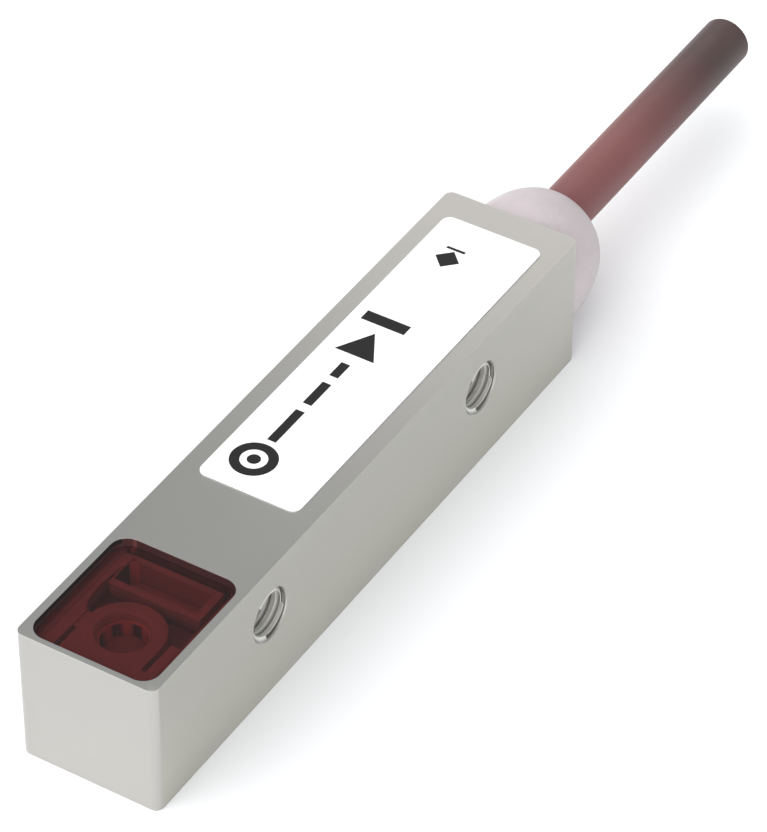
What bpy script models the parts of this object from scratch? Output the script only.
# Miniature block photoelectric sensor with a fixed cable.
#
# A die-cast block, 8 x 8 x 40 mm, holds the optics under a red window at its front
# end, a main circuit board along its floor, and a translucent gland with the cable
# at its rear end. Two M3 threaded holes pass through it from side to side.
#
# The model stands on z = 0 with the block's centre over the origin. Its length runs
# along Y: the optics are at -Y, the cable leaves at +Y, and the window faces +Z.

import math

import bmesh
import bpy
from mathutils import Vector
from mathutils.geometry import interpolate_bezier

MM = 0.001

# The block
BODY_WIDTH = 8.0 * MM
BODY_LENGTH = 40.0 * MM
BODY_HEIGHT = 8.0 * MM
BODY_CORNER = 0.45 * MM
SIDE_WALL = 0.8 * MM
FLOOR_WALL = 0.8 * MM
ROOF_WALL = 1.1 * MM
FRONT_WALL = 0.7 * MM
FIT_GAP = 0.05 * MM

# The two M3 threaded holes across the block
SCREW_SPACING = 20.0 * MM
SCREW_HEIGHT = 5.0 * MM
SCREW_TAP_RADIUS = 1.25 * MM
SCREW_MOUTH_RADIUS = 1.53 * MM
SCREW_BOSS_RADIUS = 2.0 * MM

# The window, its seal and the rebate that holds them
WINDOW_WIDTH = 7.2 * MM
WINDOW_LENGTH = 8.2 * MM
WINDOW_CORNER = 1.0 * MM
WINDOW_RIM = 0.25 * MM
WINDOW_THICKNESS = 0.8 * MM
WINDOW_SIDE_LEDGE = 0.5 * MM
WINDOW_REAR_LEDGE = 0.25 * MM
SEAL_WIDTH = 0.2 * MM
SEAL_THICKNESS = 0.1 * MM

# The optics below the window; setbacks are measured from the block's front face
EMITTER_SETBACK = 3.35 * MM
RECEIVER_SETBACK = 6.97 * MM
BARREL_RADIUS = 2.15 * MM
BARREL_BORE = 1.35 * MM
BARREL_CHAMFER = 0.15 * MM
POCKET_WIDTH = 5.3 * MM
POCKET_LENGTH = 2.3 * MM
POCKET_WALL = 0.38 * MM
CARRIER_TOP = 6.98 * MM
CARRIER_DECK = 6.0 * MM
CARRIER_SHELF = 5.2 * MM
CARRIER_ROOF = 4.75 * MM
CARRIER_FOOT = 4.0 * MM
CARRIER_WALL = 0.45 * MM
LENS_EDGE = 0.35 * MM
LENS_CROWN = 0.5 * MM
FILTER_THICKNESS = 0.5 * MM
OPTICS_BOARD_LEVEL = 3.3 * MM
LINK_PIN_RADIUS = 0.22 * MM

# The circuit boards
BOARD_THICKNESS = 0.6 * MM
MAIN_BOARD_LEVEL = 1.5 * MM
MAIN_BOARD_WIDTH = 6.7 * MM
MAIN_BOARD_END = 14.9 * MM
BOARD_GROOVE_DEPTH = 0.25 * MM

# The gland, its seal and the cable
GLAND_RADIUS = 3.78 * MM
GLAND_HEIGHT = 3.8 * MM
GLAND_COLLAR = 1.25 * MM
GLAND_DOME = 3.8 * MM
GLAND_FACE_RADIUS = 1.76 * MM
PLUG_LENGTH = 4.8 * MM
PLUG_GROOVE_START = 2.0 * MM
PLUG_GROOVE_WIDTH = 1.0 * MM
PLUG_GROOVE_DEPTH = 0.6 * MM
CABLE_RADIUS = 1.44 * MM
CABLE_HEIGHT = 4.52 * MM
CABLE_START = 13.8 * MM
CABLE_END = 44.05 * MM
CABLE_POINT_SPACING = 6.0 * MM
CLAMP_RADIUS = 2.2 * MM
CLAMP_LENGTH = 1.1 * MM
CORE_RADIUS = 0.38 * MM
CORE_SPREAD = 0.56 * MM
CORE_BEND = 0.75 * MM

# The label on the roof
LABEL_WIDTH = 5.9 * MM
LABEL_LENGTH = 24.0 * MM
LABEL_SETBACK = 14.05 * MM
LABEL_CORNER = 0.5 * MM
LABEL_THICKNESS = 0.06 * MM
LABEL_LIFT = 0.01 * MM

FRONT = -BODY_LENGTH / 2
REAR = BODY_LENGTH / 2
CAVITY_HALF = BODY_WIDTH / 2 - SIDE_WALL
CAVITY_TOP = BODY_HEIGHT - ROOF_WALL
EMITTER_Y = FRONT + EMITTER_SETBACK
RECEIVER_Y = FRONT + RECEIVER_SETBACK
WINDOW_Y = FRONT + WINDOW_RIM + WINDOW_LENGTH / 2
REBATE_LEVEL = BODY_HEIGHT - WINDOW_THICKNESS - SEAL_THICKNESS
BOARD_TOP = MAIN_BOARD_LEVEL + BOARD_THICKNESS
ALONG_X = (0.0, math.pi / 2, 0.0)
ALONG_Y = (-math.pi / 2, 0.0, 0.0)
PAST = 1.0 * MM            # how far a cutter runs beyond what it cuts

# name, centre x and y, size in x, y and z, all in millimetres, and finish
BOARD_COMPONENTS = [
    ("sensor_asic", 0.0, -4.2, 4.0, 4.0, 0.9, "black_resin"),
    ("voltage_regulator", 0.2, 0.6, 4.4, 2.5, 1.5, "black_resin"),
    ("output_transistor", -1.4, 4.0, 2.9, 1.5, 1.1, "black_resin"),
    ("protection_diode", 1.5, 6.6, 2.7, 1.6, 1.1, "black_resin"),
    ("capacitor_supply", 1.9, 4.0, 2.0, 2.5, 1.6, "ceramic_tan"),
    ("capacitor_filter", -1.5, 6.7, 2.0, 1.25, 1.2, "ceramic_tan"),
    ("capacitor_front", -2.3, -7.2, 1.25, 0.8, 0.7, "ceramic_tan"),
    ("resistor_gain", -0.4, -7.2, 1.6, 0.8, 0.45, "resistor_black"),
    ("resistor_emitter", 1.9, -7.2, 1.6, 0.8, 0.45, "resistor_black"),
]

# base colour, roughness, metallic, share of light let through
FINISHES = {
    "satin_nickel": ((0.62, 0.61, 0.57), 0.38, 1.0, 0.0),
    "red_window": ((0.22, 0.015, 0.012), 0.06, 0.0, 0.8),
    "black_sealant": ((0.02, 0.02, 0.02), 0.7, 0.0, 0.0),
    "carrier_plastic": ((0.16, 0.10, 0.09), 0.55, 0.0, 0.0),
    "clear_lens": ((0.9, 0.85, 0.85), 0.03, 0.0, 0.9),
    "filter_glass": ((0.05, 0.004, 0.004), 0.05, 0.0, 0.3),
    "board_green": ((0.02, 0.12, 0.05), 0.45, 0.0, 0.0),
    "black_resin": ((0.015, 0.015, 0.017), 0.5, 0.0, 0.0),
    "ceramic_tan": ((0.38, 0.25, 0.14), 0.45, 0.0, 0.0),
    "resistor_black": ((0.03, 0.03, 0.035), 0.35, 0.0, 0.0),
    "led_red": ((0.75, 0.03, 0.02), 0.15, 0.0, 0.4),
    "led_green": ((0.05, 0.65, 0.12), 0.15, 0.0, 0.4),
    "led_yellow": ((0.85, 0.6, 0.05), 0.15, 0.0, 0.4),
    "gold_pin": ((0.83, 0.62, 0.25), 0.25, 1.0, 0.0),
    "frosted_gland": ((0.80, 0.72, 0.73), 0.5, 0.0, 0.5),
    "clamp_steel": ((0.55, 0.55, 0.56), 0.3, 1.0, 0.0),
    "cable_jacket": ((0.14, 0.09, 0.085), 0.5, 0.0, 0.0),
    "core_brown": ((0.18, 0.07, 0.03), 0.4, 0.0, 0.0),
    "core_blue": ((0.02, 0.09, 0.45), 0.4, 0.0, 0.0),
    "core_black": ((0.012, 0.012, 0.012), 0.4, 0.0, 0.0),
    "white_label": ((0.9, 0.9, 0.9), 0.4, 0.0, 0.0),
}


def clear_scene():
    for item in list(bpy.data.objects):
        bpy.data.objects.remove(item, do_unlink=True)


def new_collection(name):
    collection = bpy.data.collections.new(name)
    bpy.context.scene.collection.children.link(collection)
    return collection


def give_finish(item, finish):
    """Give a piece its own Principled material."""
    colour, roughness, metallic, clear = FINISHES[finish]
    material = bpy.data.materials.new(item.name + "_" + finish)
    material.use_nodes = True
    shader = material.node_tree.nodes["Principled BSDF"]
    shader.inputs["Base Color"].default_value = (*colour, 1.0)
    shader.inputs["Roughness"].default_value = roughness
    shader.inputs["Metallic"].default_value = metallic
    shader.inputs["Transmission Weight"].default_value = clear
    material.diffuse_color = (*colour, 1.0)
    item.data.materials.append(material)


def add_mesh(name, mesh, location, rotation=(0.0, 0.0, 0.0)):
    item = bpy.data.objects.new(name, mesh)
    item.location = location
    item.rotation_euler = rotation
    bpy.context.scene.collection.objects.link(item)
    return item


def file_under(item, collection):
    for owner in list(item.users_collection):
        owner.objects.unlink(item)
    collection.objects.link(item)
    return item


def box(name, low, high):
    """A box between two corners, with its origin at its centre."""
    low = Vector(low)
    high = Vector(high)
    shape = bmesh.new()
    bmesh.ops.create_cube(shape, size=1.0)
    bmesh.ops.scale(shape, vec=high - low, verts=shape.verts)
    mesh = bpy.data.meshes.new(name)
    shape.to_mesh(mesh)
    shape.free()
    return add_mesh(name, mesh, (low + high) / 2)


def cylinder(name, radius, length, centre, rotation=(0.0, 0.0, 0.0), sides=32):
    """A cylinder about its own Z."""
    shape = bmesh.new()
    bmesh.ops.create_cone(shape, cap_ends=True, segments=sides, radius1=radius, radius2=radius, depth=length)
    mesh = bpy.data.meshes.new(name)
    shape.to_mesh(mesh)
    shape.free()
    smooth(mesh)
    return add_mesh(name, mesh, centre, rotation)


def smooth(mesh, angle=math.radians(35)):
    mesh.shade_smooth()
    mesh.set_sharp_from_angle(angle=angle)


def rounded_outline(size_x, size_y, radius, steps=6):
    """Points round a rectangle whose corners are arcs."""
    points = []
    for turn, (sign_x, sign_y) in enumerate([(1, 1), (-1, 1), (-1, -1), (1, -1)]):
        centre = Vector((sign_x * (size_x / 2 - radius), sign_y * (size_y / 2 - radius)))
        for step in range(steps + 1):
            angle = math.radians(90) * (turn + step / steps)
            points.append(centre + radius * Vector((math.cos(angle), math.sin(angle))))
    return points


def plate(name, size_x, size_y, corner, thickness, centre):
    """A flat outline with rounded corners, extruded both ways and made a mesh."""
    curve = bpy.data.curves.new(name, "CURVE")
    curve.dimensions = "2D"
    curve.fill_mode = "BOTH"
    curve.extrude = thickness / 2
    outline = rounded_outline(size_x, size_y, corner)
    spline = curve.splines.new("POLY")
    spline.points.add(len(outline) - 1)
    for point, place in zip(spline.points, outline):
        point.co = (place.x, place.y, 0.0, 1.0)
    spline.use_cyclic_u = True
    guide = add_mesh(name, curve, centre)
    return curve_to_mesh(guide)


def curve_to_mesh(guide):
    """Replace a curve by its mesh, with its caps welded on."""
    bpy.context.view_layer.update()
    evaluated = guide.evaluated_get(bpy.context.evaluated_depsgraph_get())
    mesh = bpy.data.meshes.new_from_object(evaluated)
    place = guide.matrix_world.copy()
    name = guide.name
    bpy.data.objects.remove(guide, do_unlink=True)
    welded = bmesh.new()
    welded.from_mesh(mesh)
    bmesh.ops.remove_doubles(welded, verts=welded.verts, dist=1e-7)
    welded.to_mesh(mesh)
    welded.free()
    item = add_mesh(name, mesh, (0.0, 0.0, 0.0))
    item.matrix_world = place
    return item


def turned(name, profile, centre, rotation=(0.0, 0.0, 0.0), closed=False, steps=40):
    """A profile of (radius, height) pairs spun about the piece's own Z.

    The outer side runs from top to bottom. A closed profile makes a ring.
    """
    mesh = bpy.data.meshes.new(name)
    edges = [(index, index + 1) for index in range(len(profile) - 1)]
    if closed:
        edges.append((len(profile) - 1, 0))
    mesh.from_pydata([(radius, 0.0, height) for radius, height in profile], edges, [])
    item = add_mesh(name, mesh, centre, rotation)
    screw = item.modifiers.new("Spin", "SCREW")
    screw.steps = steps
    screw.render_steps = steps
    screw.use_merge_vertices = True
    screw.merge_threshold = 1e-6
    screw.use_smooth_shade = True
    return item


def wire(name, points, radius):
    """A round wire along a list of points."""
    curve = bpy.data.curves.new(name, "CURVE")
    curve.dimensions = "3D"
    curve.bevel_depth = radius
    curve.bevel_resolution = 2
    curve.use_fill_caps = True
    spline = curve.splines.new("POLY")
    spline.points.add(len(points) - 1)
    for point, place in zip(spline.points, points):
        point.co = (*place, 1.0)
    return add_mesh(name, curve, (0.0, 0.0, 0.0))


def combine(target, tool, operation, cutters):
    """Cut or join a piece by another that stays as a hidden guide."""
    file_under(tool, cutters)
    tool.hide_render = True
    tool.display_type = "WIRE"
    modifier = target.modifiers.new(tool.name, "BOOLEAN")
    modifier.operation = operation
    modifier.solver = "EXACT"
    modifier.object = tool


def cut(target, tool, cutters):
    combine(target, tool, "DIFFERENCE", cutters)


def join(target, tool, cutters):
    combine(target, tool, "UNION", cutters)


def make_housing(cutters):
    """The block: a shell, open at its rear and under the window, with two threaded bosses."""
    housing = plate("housing", BODY_WIDTH, BODY_LENGTH, BODY_CORNER, BODY_HEIGHT, (0.0, 0.0, BODY_HEIGHT / 2))
    cavity_front = FRONT + FRONT_WALL
    cut(housing, box("cut_cavity", (-CAVITY_HALF, cavity_front, FLOOR_WALL),
                     (CAVITY_HALF, REAR + PAST, CAVITY_TOP)), cutters)
    for side, y in (("front", -SCREW_SPACING / 2), ("rear", SCREW_SPACING / 2)):
        boss_length = BODY_WIDTH - SIDE_WALL
        join(housing, cylinder("add_boss_" + side, SCREW_BOSS_RADIUS, boss_length,
                               (0.0, y, SCREW_HEIGHT), ALONG_X), cutters)
    rebate_top = BODY_HEIGHT + PAST
    cut(housing, plate("cut_rebate", WINDOW_WIDTH, WINDOW_LENGTH, WINDOW_CORNER, rebate_top - REBATE_LEVEL,
                       (0.0, WINDOW_Y, (rebate_top + REBATE_LEVEL) / 2)), cutters)
    opening_half = WINDOW_WIDTH / 2 - WINDOW_SIDE_LEDGE
    opening_rear = WINDOW_Y + WINDOW_LENGTH / 2 - WINDOW_REAR_LEDGE
    cut(housing, box("cut_opening", (-opening_half, cavity_front + FIT_GAP, CAVITY_TOP - PAST),
                     (opening_half, opening_rear, BODY_HEIGHT)), cutters)
    groove_half = CAVITY_HALF + BOARD_GROOVE_DEPTH
    cut(housing, box("cut_board_groove", (-groove_half, cavity_front + FIT_GAP, MAIN_BOARD_LEVEL - FIT_GAP),
                     (groove_half, REAR + PAST, BOARD_TOP + FIT_GAP)), cutters)
    # Each hole is cut by one spun shape: a bore with a 45 degree mouth at both ends.
    reach = BODY_WIDTH / 2 + PAST / 2
    wide = SCREW_MOUTH_RADIUS + PAST / 2
    mouth = BODY_WIDTH / 2 - (SCREW_MOUTH_RADIUS - SCREW_TAP_RADIUS)
    bore = [(0.0, reach), (wide, reach), (SCREW_TAP_RADIUS, mouth),
            (SCREW_TAP_RADIUS, -mouth), (wide, -reach), (0.0, -reach)]
    for side, y in (("front", -SCREW_SPACING / 2), ("rear", SCREW_SPACING / 2)):
        cut(housing, turned("cut_thread_" + side, bore, (0.0, y, SCREW_HEIGHT), ALONG_X, steps=32), cutters)
    return housing


def make_window(cutters):
    """The red plate that closes the optics, and the seal it is bedded on."""
    top = BODY_HEIGHT - FIT_GAP / 2
    window = plate("front_window", WINDOW_WIDTH - 2 * FIT_GAP, WINDOW_LENGTH - 2 * FIT_GAP,
                   WINDOW_CORNER - FIT_GAP, WINDOW_THICKNESS - FIT_GAP,
                   (0.0, WINDOW_Y, top - (WINDOW_THICKNESS - FIT_GAP) / 2))
    seal_size = (WINDOW_WIDTH - 2 * FIT_GAP, WINDOW_LENGTH - 2 * FIT_GAP)
    seal_centre = (0.0, WINDOW_Y, REBATE_LEVEL + SEAL_THICKNESS / 2)
    seal = plate("window_seal", seal_size[0], seal_size[1], WINDOW_CORNER - FIT_GAP,
                 SEAL_THICKNESS - FIT_GAP, seal_centre)
    cut(seal, plate("cut_seal", seal_size[0] - 2 * SEAL_WIDTH, seal_size[1] - 2 * SEAL_WIDTH,
                    WINDOW_CORNER - SEAL_WIDTH, PAST, seal_centre), cutters)
    return window, seal


def make_carrier(cutters):
    """The moulding that holds the lens barrel and the receiver's pocket and keeps their light apart."""
    half = CAVITY_HALF - FIT_GAP
    front = FRONT + FRONT_WALL + FIT_GAP
    rear = -SCREW_SPACING / 2 - SCREW_BOSS_RADIUS - FIT_GAP
    carrier = box("optics_carrier", (-half, front, CARRIER_FOOT), (half, rear, CARRIER_DECK))
    divide = (EMITTER_Y + BARREL_RADIUS + RECEIVER_Y - POCKET_LENGTH / 2) / 2
    chambers = (("emitter", front + CARRIER_WALL, divide - CARRIER_WALL / 2),
                ("receiver", divide + CARRIER_WALL / 2, rear - CARRIER_WALL))
    for name, near, far in chambers:
        cut(carrier, box("cut_chamber_" + name, (-half + CARRIER_WALL, near, CARRIER_FOOT - PAST),
                         (half - CARRIER_WALL, far, CARRIER_ROOF)), cutters)
    edge = BARREL_CHAMFER
    barrel = [(0.0, CARRIER_TOP), (BARREL_RADIUS - edge, CARRIER_TOP), (BARREL_RADIUS, CARRIER_TOP - edge),
              (BARREL_RADIUS, CARRIER_DECK - edge), (0.0, CARRIER_DECK - edge)]
    join(carrier, turned("add_barrel", barrel, (0.0, EMITTER_Y, 0.0)), cutters)
    pocket_low = Vector((-POCKET_WIDTH / 2, RECEIVER_Y - POCKET_LENGTH / 2, 0.0))
    pocket_high = -pocket_low + Vector((0.0, 2 * RECEIVER_Y, 0.0))
    join(carrier, box("add_pocket", (pocket_low.x, pocket_low.y, CARRIER_DECK - FIT_GAP),
                      (pocket_high.x, pocket_high.y, CARRIER_TOP)), cutters)
    above = CARRIER_TOP + PAST
    bore = [(0.0, above), (BARREL_BORE + edge + PAST, above), (BARREL_BORE, CARRIER_TOP - edge),
            (BARREL_BORE, CARRIER_SHELF), (BARREL_BORE - CARRIER_WALL, CARRIER_SHELF),
            (BARREL_BORE - CARRIER_WALL, CARRIER_ROOF - PAST / 2), (0.0, CARRIER_ROOF - PAST / 2)]
    cut(carrier, turned("cut_barrel_bore", bore, (0.0, EMITTER_Y, 0.0)), cutters)
    wall = Vector((POCKET_WALL, POCKET_WALL, 0.0))
    cut(carrier, box("cut_pocket", pocket_low + wall + Vector((0, 0, CARRIER_SHELF)),
                     pocket_high - wall + Vector((0, 0, CARRIER_TOP + PAST))), cutters)
    inner = 1.8 * wall
    cut(carrier, box("cut_receiver_aperture", pocket_low + inner + Vector((0, 0, CARRIER_SHELF - PAST)),
                     pocket_high - inner + Vector((0, 0, CARRIER_SHELF + PAST))), cutters)
    return carrier


def make_lens():
    """The emitter's lens: a short disc with a domed top."""
    edge = BARREL_BORE - FIT_GAP
    base = CARRIER_SHELF + FIT_GAP
    steps = 8
    dome = [(edge * math.sin(math.pi / 2 * step / steps),
             base + LENS_EDGE + LENS_CROWN * math.cos(math.pi / 2 * step / steps))
            for step in range(steps + 1)]
    return turned("emitter_lens", dome + [(edge, base), (0.0, base)], (0.0, EMITTER_Y, 0.0))


def make_filter():
    """The dark glass in the receiver's pocket, which passes only the sensor's own light."""
    half_x = POCKET_WIDTH / 2 - POCKET_WALL - FIT_GAP
    half_y = POCKET_LENGTH / 2 - POCKET_WALL - FIT_GAP
    base = CARRIER_SHELF + FIT_GAP
    return box("receiver_filter", (-half_x, RECEIVER_Y - half_y, base),
               (half_x, RECEIVER_Y + half_y, base + FILTER_THICKNESS))


def chip(name, x, y, base, size):
    """A component's body with its edges broken."""
    half_x, half_y = size[0] / 2, size[1] / 2
    item = box(name, (x - half_x, y - half_y, base), (x + half_x, y + half_y, base + size[2]))
    edge = item.modifiers.new("Edge", "BEVEL")
    edge.width = 0.06 * MM
    edge.segments = 1
    return item


def make_led(name, x, y, base, size, dome_radius, cutters):
    """A surface-mount light source: a flat base with a small dome on it."""
    half_x, half_y = size[0] / 2, size[1] / 2
    led = box(name, (x - half_x, y - half_y, base), (x + half_x, y + half_y, base + size[2]))
    steps = 6
    dome = [(dome_radius * math.sin(math.pi / 2 * step / steps),
             dome_radius * math.cos(math.pi / 2 * step / steps)) for step in range(steps + 1)]
    foot = -size[2] / 2
    dome += [(dome_radius, foot), (0.0, foot)]
    join(led, turned("add_dome_" + name, dome, (x, y, base + size[2]), steps=24), cutters)
    return led


def make_boards():
    """The long main board in the side grooves, and the small board under the optics."""
    front = FRONT + FRONT_WALL + 2 * FIT_GAP
    half = MAIN_BOARD_WIDTH / 2
    main = box("main_board", (-half, front, MAIN_BOARD_LEVEL), (half, MAIN_BOARD_END, BOARD_TOP))
    optics_half = CAVITY_HALF - 2 * FIT_GAP
    rear = -SCREW_SPACING / 2 - SCREW_BOSS_RADIUS - 2 * FIT_GAP
    optics = box("optics_board", (-optics_half, front, OPTICS_BOARD_LEVEL),
                 (optics_half, rear, OPTICS_BOARD_LEVEL + BOARD_THICKNESS))
    return main, optics


def make_link_pins():
    """Four pins that carry current and signal between the two boards."""
    low = BOARD_TOP + FIT_GAP
    high = OPTICS_BOARD_LEVEL - FIT_GAP
    pins = []
    for x in (-2.4 * MM, 2.4 * MM):
        for y in (-18.2 * MM, -13.2 * MM):
            name = "link_pin_{}".format(len(pins) + 1)
            pins.append(cylinder(name, LINK_PIN_RADIUS, high - low, (x, y, (low + high) / 2), sides=16))
    return pins


def make_gland(cutters):
    """The translucent end piece: a plug inside the block and a dome round the cable."""
    tip = GLAND_COLLAR + GLAND_DOME
    steps = 10
    shoulder = GLAND_RADIUS - GLAND_FACE_RADIUS
    dome = [(0.0, tip)]
    for step in range(steps + 1):
        angle = math.pi / 2 * step / steps
        radius = GLAND_FACE_RADIUS + shoulder * math.sin(angle)
        dome.append((radius, GLAND_COLLAR + GLAND_DOME * math.cos(angle)))
    dome += [(GLAND_RADIUS, FIT_GAP), (0.0, FIT_GAP)]
    gland = turned("cable_gland", dome, (0.0, REAR, GLAND_HEIGHT), ALONG_Y, steps=48)
    half = CAVITY_HALF - 2 * FIT_GAP
    low, high = FLOOR_WALL + 2 * FIT_GAP, CAVITY_TOP - 2 * FIT_GAP
    start = REAR - PLUG_LENGTH
    groove = REAR - PLUG_GROOVE_START
    neck = PLUG_GROOVE_DEPTH
    plug = (("inner", 0.0, start, groove - PLUG_GROOVE_WIDTH),
            ("neck", neck, start + PAST, REAR + GLAND_COLLAR / 2),
            ("outer", 0.0, groove, REAR))
    for name, inset, start, end in plug:
        join(gland, box("add_plug_" + name, (-half + inset, start, low + inset),
                        (half - inset, end, high - inset)), cutters)
    cut(gland, cylinder("cut_cable_bore", CABLE_RADIUS + FIT_GAP, BODY_LENGTH,
                        (0.0, REAR, CABLE_HEIGHT), ALONG_Y), cutters)
    return gland


def make_gland_seal(cutters):
    """The square ring in the plug's groove."""
    start = REAR - PLUG_GROOVE_START - PLUG_GROOVE_WIDTH + FIT_GAP
    end = REAR - PLUG_GROOVE_START - FIT_GAP
    half = CAVITY_HALF - FIT_GAP / 2
    low, high = FLOOR_WALL + FIT_GAP / 2, CAVITY_TOP - FIT_GAP / 2
    seal = box("gland_seal", (-half, start, low), (half, end, high))
    inset = PLUG_GROOVE_DEPTH
    cut(seal, box("cut_gland_seal", (-half + inset, start - PAST, low + inset),
                  (half - inset, end + PAST, high - inset)), cutters)
    return seal


def make_clamp():
    """The metal ring crimped on the cable behind the plug, which takes its pull."""
    bore = CABLE_RADIUS + FIT_GAP
    half = CLAMP_LENGTH / 2
    profile = [(bore, half), (CLAMP_RADIUS, half), (CLAMP_RADIUS, -half), (bore, -half)]
    middle = REAR - PLUG_LENGTH - FIT_GAP - half
    return turned("cable_clamp", profile, (0.0, middle, CABLE_HEIGHT), ALONG_Y, closed=True)


def make_cable():
    """The jacket, straight from inside the block to its plain cut end."""
    count = round((CABLE_END - CABLE_START) / CABLE_POINT_SPACING)
    points = [(0.0, CABLE_START + (CABLE_END - CABLE_START) * step / count, CABLE_HEIGHT)
              for step in range(count + 1)]
    return wire("cable_jacket", points, CABLE_RADIUS)


def make_cores():
    """Three insulated wires, bent down from the jacket's end to the main board."""
    cores = []
    for name, angle, pad_x, pad_y in (("core_brown", 150, -1.25 * MM, 12.75 * MM),
                                      ("core_blue", 30, 1.25 * MM, 12.75 * MM),
                                      ("core_black", 270, 0.0, 12.95 * MM)):
        turn = math.radians(angle)
        start = Vector((CORE_SPREAD * math.cos(turn), CABLE_START - FIT_GAP,
                        CABLE_HEIGHT + CORE_SPREAD * math.sin(turn)))
        end = Vector((pad_x, pad_y, BOARD_TOP + FIT_GAP))
        leave = start - Vector((0, CORE_BEND, 0))
        arrive = end + Vector((0, 0, CORE_BEND))
        points = interpolate_bezier(start, leave, arrive, end, 10)
        cores.append(wire(name, points, CORE_RADIUS))
    return cores


def make_label():
    """The white plate on the roof."""
    middle = (0.0, FRONT + LABEL_SETBACK + LABEL_LENGTH / 2, BODY_HEIGHT + LABEL_LIFT + LABEL_THICKNESS / 2)
    return plate("top_label", LABEL_WIDTH, LABEL_LENGTH, LABEL_CORNER, LABEL_THICKNESS, middle)


def build():
    clear_scene()
    pieces = new_collection("photoelectric_sensor")
    cutters = new_collection("cutters")
    mount = bpy.data.objects.new("sensor_origin", None)
    pieces.objects.link(mount)

    made = [(make_housing(cutters), "satin_nickel")]
    window, seal = make_window(cutters)
    made += [(window, "red_window"), (seal, "black_sealant")]
    made.append((make_carrier(cutters), "carrier_plastic"))
    made.append((make_lens(), "clear_lens"))
    made.append((make_filter(), "filter_glass"))
    optics_top = OPTICS_BOARD_LEVEL + BOARD_THICKNESS + FIT_GAP
    made.append((make_led("emitter_led", 0.0, EMITTER_Y, optics_top, (1.6 * MM, 1.2 * MM, 0.3 * MM),
                          0.35 * MM, cutters), "led_red"))
    made.append((chip("photodiode", 0.0, RECEIVER_Y - 0.1 * MM, optics_top,
                      (3.6 * MM, 1.0 * MM, 0.55 * MM)), "black_resin"))
    made += [(board, "board_green") for board in make_boards()]
    made += [(pin, "gold_pin") for pin in make_link_pins()]
    board_base = BOARD_TOP + FIT_GAP
    for name, x, y, width, length, height, finish in BOARD_COMPONENTS:
        made.append((chip(name, x * MM, y * MM, board_base, (width * MM, length * MM, height * MM)), finish))
    for name, x, finish in (("indicator_green", -2.55 * MM, "led_green"),
                            ("indicator_yellow", 2.55 * MM, "led_yellow")):
        made.append((make_led(name, x, 14.0 * MM, board_base, (0.9 * MM, 1.5 * MM, 0.4 * MM),
                              0.32 * MM, cutters), finish))
    made += [(make_gland(cutters), "frosted_gland"), (make_gland_seal(cutters), "black_sealant")]
    made += [(make_clamp(), "clamp_steel"), (make_cable(), "cable_jacket")]
    made += [(core, core.name) for core in make_cores()]
    made.append((make_label(), "white_label"))

    for item, finish in made:
        file_under(item, pieces)
        give_finish(item, finish)
        item.parent = mount


build()
